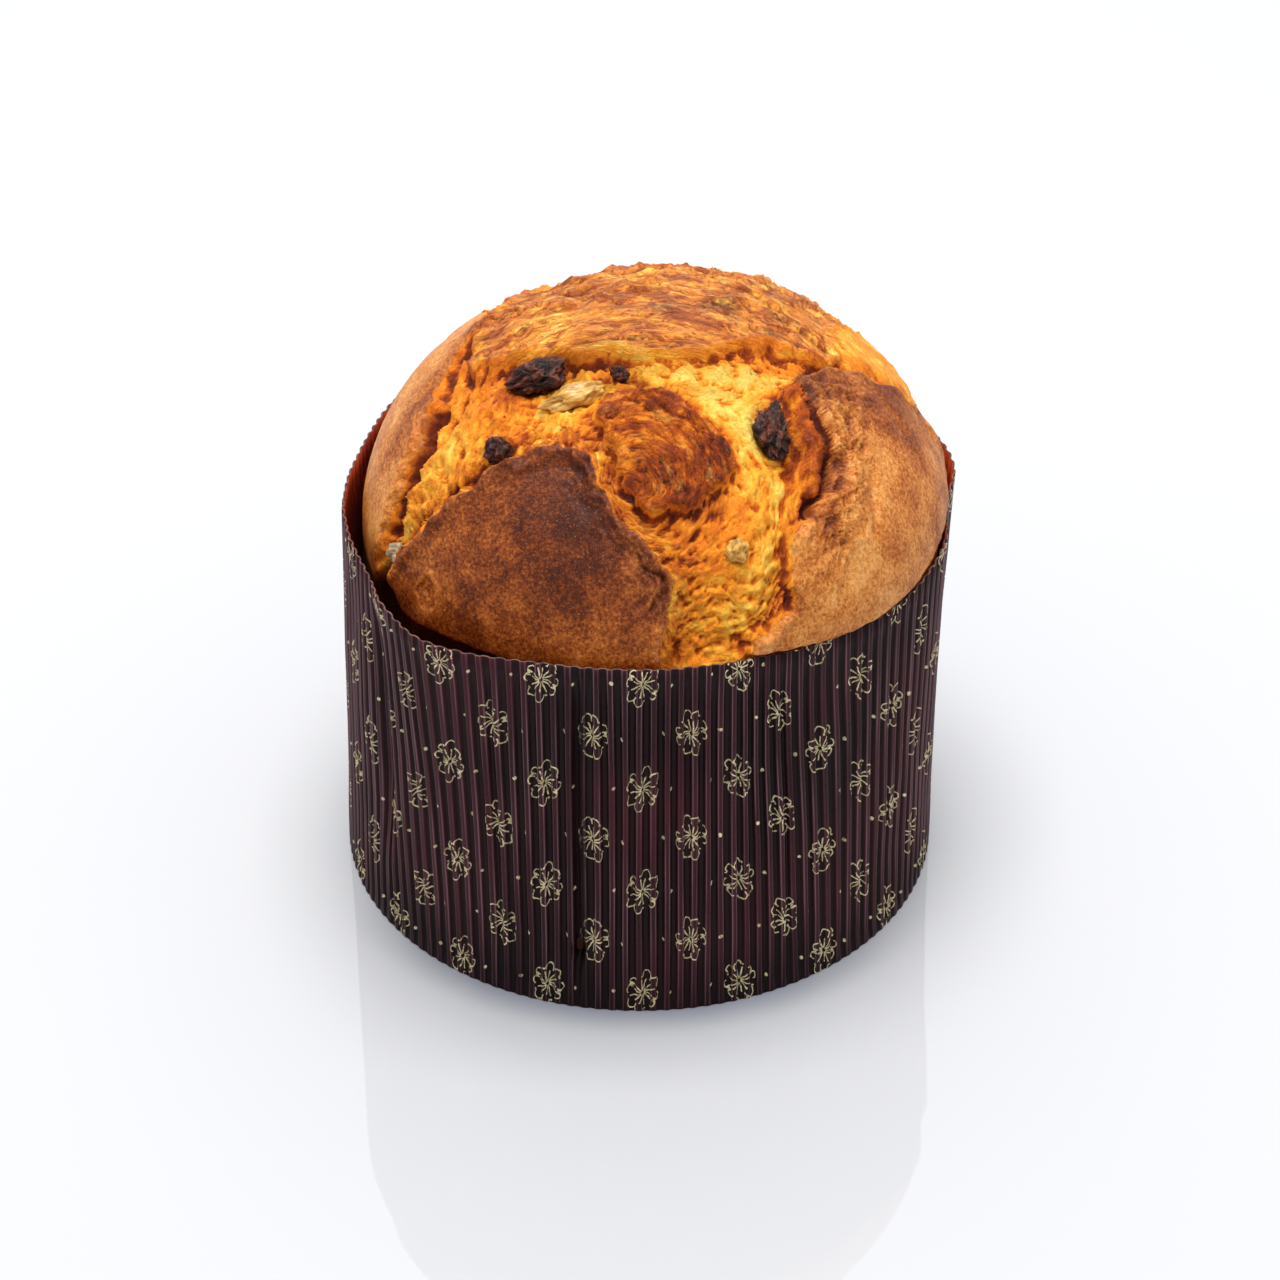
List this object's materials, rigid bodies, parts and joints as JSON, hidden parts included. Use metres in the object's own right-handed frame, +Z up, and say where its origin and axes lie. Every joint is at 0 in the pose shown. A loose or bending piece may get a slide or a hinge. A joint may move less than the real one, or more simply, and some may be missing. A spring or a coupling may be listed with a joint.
{
  "type": "panettone",
  "caption": "Tall domed sweet bread with a torn browned top, raisins and candied peel, standing in its fluted dark paper baking case.",
  "frame": {"origin": "middle of the underside of the case's base board, where it stands on the table", "axes": "+Z up along the case, -Y to the front of the loaf as pictured, +X to its right"},
  "size_m": [0.158, 0.155, 0.156],
  "materials": {
    "crust": "baked crust, satin, golden to dark brown, with torn yellow crumb",
    "case_paper": "dark aubergine greaseproof paper, satin outside, dark red-brown inside, with a fine gold line print",
    "base_board": "brown board, matt",
    "raisin": "wrinkled, slightly glossy",
    "candied_peel": "translucent, glossy"
  },
  "bodies": {
    "root": {"loaf": "crust", "case_wall": "case_paper", "case_base": "base_board", "raisin_left": "raisin", "raisin_right": "raisin", "raisin_small": "raisin", "raisin_tip": "raisin", "peel_long": "candied_peel", "peel_small": "candied_peel", "peel_pale": "candied_peel"}
  },
  "joints": []
}
